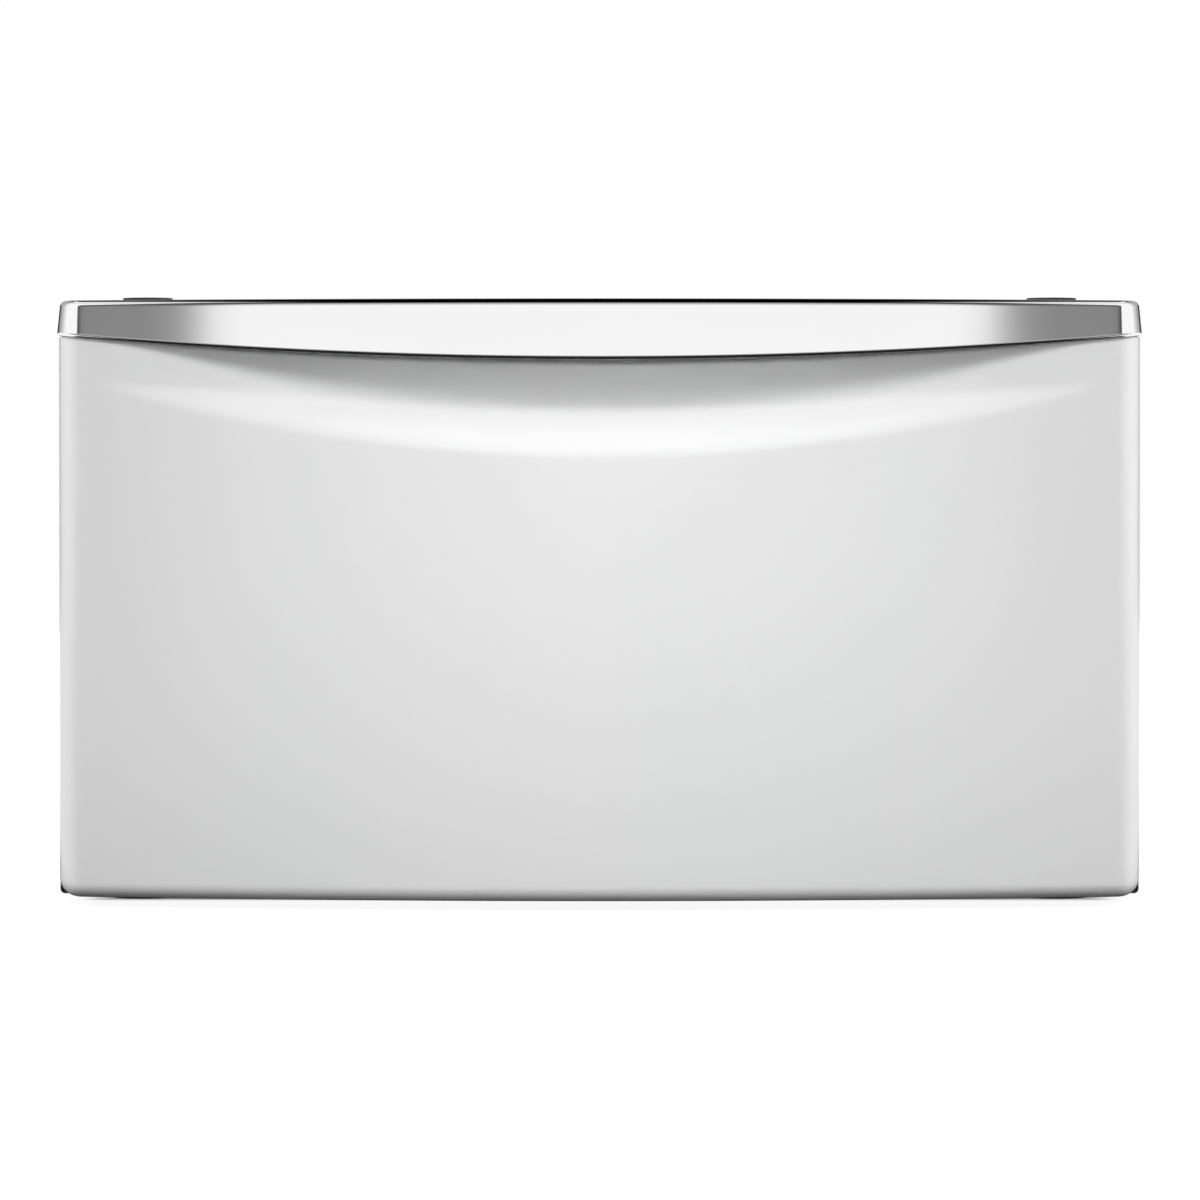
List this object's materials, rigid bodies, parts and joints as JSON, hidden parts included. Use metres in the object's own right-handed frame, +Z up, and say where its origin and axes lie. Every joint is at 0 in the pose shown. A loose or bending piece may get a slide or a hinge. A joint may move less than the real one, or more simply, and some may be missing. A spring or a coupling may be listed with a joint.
{
  "type": "laundry pedestal",
  "caption": "White steel laundry pedestal: a low plinth with raised pads on its deck and a full-width drawer behind a bowed front with a chrome handle cap.",
  "frame": {"origin": "on the floor at the centre of the footprint", "axes": "+Z up, +X to the viewer's right, the drawer front faces -Y"},
  "size_m": [0.69, 0.676, 0.388],
  "materials": {
    "enamel": "gloss white enamel",
    "drawer_steel": "satin white paint",
    "divider_plastic": "satin white plastic",
    "panel_gloss": "gloss white paint on moulded plastic",
    "chrome_trim": "bright chrome plating",
    "black_plastic": "moulded black",
    "galvanised": "galvanised sheet steel",
    "slide_steel": "bright zinc plating",
    "cage_brass": "yellow passivated steel",
    "ball_steel": "polished bearing steel",
    "zinc_hardware": "zinc-plated",
    "black_rubber": "matt black rubber"
  },
  "bodies": {
    "cabinet": {"side_panel_left": "enamel", "side_panel_right": "enamel", "back_panel": "enamel", "top_deck": "enamel", "front_top_rail": "galvanised", "front_bottom_rail": "galvanised", "rear_bottom_rail": "galvanised", "deck_stiffener": "galvanised", "corner_bracket_fl": "galvanised", "corner_bracket_fr": "galvanised", "corner_bracket_rl": "galvanised", "corner_bracket_rr": "galvanised", "slide_support_left": "galvanised", "slide_support_right": "galvanised", "deck_discs": "black_rubber", "deck_screws": "zinc_hardware", "rail_screws": "zinc_hardware", "back_screws": "zinc_hardware", "slide_rivets": "zinc_hardware", "foot_nuts": "zinc_hardware", "drawer_bumpers": "black_rubber", "slide_outer_left": "slide_steel", "slide_outer_right": "slide_steel"},
    "drawer": {"drawer_side_left": "drawer_steel", "drawer_side_right": "drawer_steel", "drawer_bottom": "drawer_steel", "drawer_back": "drawer_steel", "drawer_front_wall": "drawer_steel", "front_panel": "panel_gloss", "front_liner": "black_plastic", "handle": "chrome_trim", "panel_screws": "zinc_hardware", "handle_screws": "zinc_hardware", "drawer_front_screws": "zinc_hardware", "drawer_slide_screws": "zinc_hardware", "lever_rivets": "zinc_hardware", "slide_inner_left": "slide_steel", "slide_inner_right": "slide_steel"},
    "divider_assembly": {"divider": "divider_plastic", "divider_clips": "black_plastic"},
    "middle_member_left": {"slide_middle_left": "slide_steel"},
    "outer_cage_left": {"ball_cage_outer_left": "cage_brass", "balls_outer_left": "ball_steel"},
    "inner_cage_left": {"ball_cage_inner_left": "cage_brass", "balls_inner_left": "ball_steel"},
    "lever_left": {"release_lever_left": "black_plastic"},
    "middle_member_right": {"slide_middle_right": "slide_steel"},
    "outer_cage_right": {"ball_cage_outer_right": "cage_brass", "balls_outer_right": "ball_steel"},
    "inner_cage_right": {"ball_cage_inner_right": "cage_brass", "balls_inner_right": "ball_steel"},
    "lever_right": {"release_lever_right": "black_plastic"},
    "foot_fl": {"foot_pad_fl": "black_rubber", "foot_stud_fl": "zinc_hardware"},
    "foot_fr": {"foot_pad_fr": "black_rubber", "foot_stud_fr": "zinc_hardware"},
    "foot_rl": {"foot_pad_rl": "black_rubber", "foot_stud_rl": "zinc_hardware"},
    "foot_rr": {"foot_pad_rr": "black_rubber", "foot_stud_rr": "zinc_hardware"}
  },
  "joints": [
    {"name": "drawer_slide", "type": "slide", "parent": "cabinet", "child": "drawer", "axis": [0, -1, 0], "range_m": [0, 0.46]},
    {"name": "divider_slide", "type": "slide", "parent": "drawer", "child": "divider_assembly", "axis": [1, 0, 0], "range_m": [-0.25, 0.25]},
    {"name": "middle_run_left", "type": "slide", "parent": "cabinet", "child": "middle_member_left", "axis": [0, -1, 0], "range_m": [0, 0.23]},
    {"name": "outer_cage_run_left", "type": "slide", "parent": "cabinet", "child": "outer_cage_left", "axis": [0, -1, 0], "range_m": [0, 0.115]},
    {"name": "inner_cage_run_left", "type": "slide", "parent": "cabinet", "child": "inner_cage_left", "axis": [0, -1, 0], "range_m": [0, 0.345]},
    {"name": "release_lever_left_turn", "type": "hinge", "parent": "drawer", "child": "lever_left", "pos_m": [-0.3085, -0.059, 0.17], "axis": [1, 0, 0], "range_deg": [-8, 0], "stiffness_Nm_per_rad": 0.06},
    {"name": "middle_run_right", "type": "slide", "parent": "cabinet", "child": "middle_member_right", "axis": [0, -1, 0], "range_m": [0, 0.23]},
    {"name": "outer_cage_run_right", "type": "slide", "parent": "cabinet", "child": "outer_cage_right", "axis": [0, -1, 0], "range_m": [0, 0.115]},
    {"name": "inner_cage_run_right", "type": "slide", "parent": "cabinet", "child": "inner_cage_right", "axis": [0, -1, 0], "range_m": [0, 0.345]},
    {"name": "release_lever_right_turn", "type": "hinge", "parent": "drawer", "child": "lever_right", "pos_m": [0.3085, -0.059, 0.17], "axis": [1, 0, 0], "range_deg": [0, 8], "stiffness_Nm_per_rad": 0.06},
    {"name": "foot_screw_fl", "type": "slide", "parent": "cabinet", "child": "foot_fl", "axis": [0, 0, -1], "range_m": [0, 0.012]},
    {"name": "foot_screw_fr", "type": "slide", "parent": "cabinet", "child": "foot_fr", "axis": [0, 0, -1], "range_m": [0, 0.012]},
    {"name": "foot_screw_rl", "type": "slide", "parent": "cabinet", "child": "foot_rl", "axis": [0, 0, -1], "range_m": [0, 0.012]},
    {"name": "foot_screw_rr", "type": "slide", "parent": "cabinet", "child": "foot_rr", "axis": [0, 0, -1], "range_m": [0, 0.012]}
  ],
  "couplings": [
    {"joint": "middle_run_left", "follows": "drawer_slide", "ratio": 0.5},
    {"joint": "outer_cage_run_left", "follows": "drawer_slide", "ratio": 0.25},
    {"joint": "inner_cage_run_left", "follows": "drawer_slide", "ratio": 0.75},
    {"joint": "middle_run_right", "follows": "drawer_slide", "ratio": 0.5},
    {"joint": "outer_cage_run_right", "follows": "drawer_slide", "ratio": 0.25},
    {"joint": "inner_cage_run_right", "follows": "drawer_slide", "ratio": 0.75}
  ]
}
